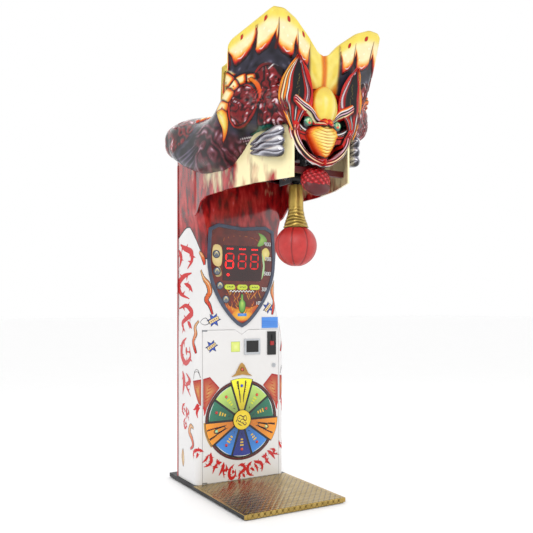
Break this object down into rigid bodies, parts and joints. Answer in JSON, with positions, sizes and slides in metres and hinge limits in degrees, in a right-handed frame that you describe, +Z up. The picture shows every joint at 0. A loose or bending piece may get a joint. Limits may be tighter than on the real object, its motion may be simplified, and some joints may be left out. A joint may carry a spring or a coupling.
{
  "type": "boxing punch machine",
  "caption": "Arcade boxing punch machine with a beast-shaped head, hanging punch ball, shield score display, prize wheel on the service door and a standing plate.",
  "frame": {"origin": "on the floor under the middle of the base, at the centre foot", "axes": "+Z up, -Y the front where the player stands, +X to the machine's left as seen from behind (right as seen from the front)"},
  "size_m": [0.784, 1.208, 2.28],
  "materials": {
    "black_steel": "satin powder coat",
    "foot_rubber": "matt",
    "tread_brass": "bright tread sheet",
    "cabinet_white": "gloss moulding with painted art",
    "trim_red": "gloss",
    "zinc_steel": "zinc plated",
    "bezel_slate": "semi-gloss",
    "panel_maroon": "printed acrylic",
    "window_red": "tinted acrylic",
    "digit_black": "matt",
    "emblem_grey": "gloss",
    "status_blue": "lit panel",
    "board_green": "solder mask",
    "case_alu": "plain",
    "speaker_black": "matt",
    "case_grey": "satin",
    "hose_black": "matt",
    "inlet_black": "matt",
    "switch_red": "gloss",
    "bracket_grey": "satin",
    "bearing_steel": "ground",
    "stop_rubber": "matt",
    "sleeve_gold": "metallic vinyl over foam",
    "ball_red": "soft gloss",
    "wheel_print": "printed acrylic",
    "lamp_red": "clear dome",
    "pointer_gold": "gold print on acrylic",
    "acceptor_black": "satin",
    "cup_chrome": "plated",
    "button_green": "gloss",
    "throat_maroon": "satin",
    "head_skin": "painted fibreglass",
    "crest_yellow": "painted fibreglass",
    "mask_red": "painted fibreglass",
    "beak_amber": "painted fibreglass",
    "eye_green": "gloss",
    "tongue_red": "gloss",
    "pipe_chrome": "polished"
  },
  "bodies": {
    "machine": {"base_frame": "black_steel", "base_feet": "foot_rubber", "tread_plate": "tread_brass", "side_shell_left": "cabinet_white", "side_shell_right": "cabinet_white", "back_panel": "cabinet_white", "edge_trims": "trim_red", "panel_screws": "zinc_steel", "mast_frame": "black_steel", "shield_bezel": "bezel_slate", "display_panel": "panel_maroon", "display_window": "window_red", "digit_modules": "digit_black", "emblem_lamps": "emblem_grey", "status_display": "status_blue", "control_board": "board_green", "power_supply": "case_alu", "loudspeaker": "speaker_black", "smoke_generator": "case_grey", "smoke_hoses": "hose_black", "power_inlet": "inlet_black", "arm_bracket": "bracket_grey", "pivot_bearings": "bearing_steel", "arm_stop": "stop_rubber", "latch_solenoid": "case_grey", "hinge_plates": "zinc_steel", "cash_cradle": "case_grey", "throat_liner": "throat_maroon", "head_shell_left": "head_skin", "head_shell_right": "head_skin", "crest_left": "crest_yellow", "crest_right": "crest_yellow", "face_mask": "mask_red", "forehead_plate": "crest_yellow", "beak": "beak_amber", "eyes": "eye_green", "ears": "mask_red", "tongue": "tongue_red", "exhaust_pipes": "pipe_chrome"},
    "ball_arm_group": {"pivot_shaft": "bearing_steel", "ball_arm": "black_steel", "ball_sleeve": "sleeve_gold", "ball": "ball_red"},
    "service_door": {"door_panel": "cabinet_white", "door_pins": "zinc_steel", "wheel_face": "wheel_print", "wheel_lamps": "lamp_red", "pointer": "pointer_gold", "coin_acceptor": "acceptor_black", "return_cup": "cup_chrome"},
    "reject_button": {"reject_button": "switch_red"},
    "return_flap": {"return_flap": "acceptor_black"},
    "door_lock": {"door_lock": "bearing_steel"},
    "cash_box": {"cash_box": "case_alu"},
    "select_button_1": {"select_button_1": "button_green"},
    "select_button_2": {"select_button_2": "button_green"},
    "select_button_3": {"select_button_3": "button_green"},
    "latch_pawl": {"latch_pawl": "zinc_steel"},
    "latch_plunger": {"latch_plunger": "zinc_steel"},
    "power_switch": {"power_switch": "switch_red"}
  },
  "joints": [
    {"name": "ball_swing", "type": "hinge", "parent": "machine", "child": "ball_arm_group", "pos_m": [0, -0.45, 1.62], "axis": [1, 0, 0], "range_deg": [-10, 90]},
    {"name": "door_swing", "type": "hinge", "parent": "machine", "child": "service_door", "pos_m": [-0.233, 0.118, 0.449], "axis": [0, 0, -1], "range_deg": [0, 100]},
    {"name": "reject_press", "type": "slide", "parent": "service_door", "child": "reject_button", "axis": [0, 1, 0], "range_m": [0, 0.003], "stiffness_N_per_m": 300},
    {"name": "flap_swing", "type": "hinge", "parent": "service_door", "child": "return_flap", "pos_m": [0.066, 0.109, 0.801], "axis": [1, 0, 0], "range_deg": [0, 65]},
    {"name": "lock_turn", "type": "hinge", "parent": "service_door", "child": "door_lock", "pos_m": [0.208, 0.112, 0.66], "axis": [0, 1, 0], "range_deg": [0, 90]},
    {"name": "cash_lift", "type": "slide", "parent": "machine", "child": "cash_box", "axis": [0, 0, 1], "range_m": [0, 0.08]},
    {"name": "select_press_1", "type": "slide", "parent": "machine", "child": "select_button_1", "axis": [0, 1, 0], "range_m": [0, 0.003], "stiffness_N_per_m": 300},
    {"name": "select_press_2", "type": "slide", "parent": "machine", "child": "select_button_2", "axis": [0, 1, 0], "range_m": [0, 0.003], "stiffness_N_per_m": 300},
    {"name": "select_press_3", "type": "slide", "parent": "machine", "child": "select_button_3", "axis": [0, 1, 0], "range_m": [0, 0.003], "stiffness_N_per_m": 300},
    {"name": "pawl_swing", "type": "hinge", "parent": "machine", "child": "latch_pawl", "pos_m": [0, -0.532, 1.69], "axis": [1, 0, 0], "range_deg": [0, 12], "stiffness_Nm_per_rad": 0.8},
    {"name": "plunger_push", "type": "slide", "parent": "machine", "child": "latch_plunger", "axis": [0, -1, 0], "range_m": [0, 0.0059]},
    {"name": "switch_rock", "type": "hinge", "parent": "machine", "child": "power_switch", "pos_m": [0, 0.374, 0.149], "axis": [1, 0, 0], "range_deg": [-8, 8]}
  ],
  "couplings": [
    {"joint": "plunger_push", "follows": "pawl_swing", "m_per_rad": 0.028}
  ]
}
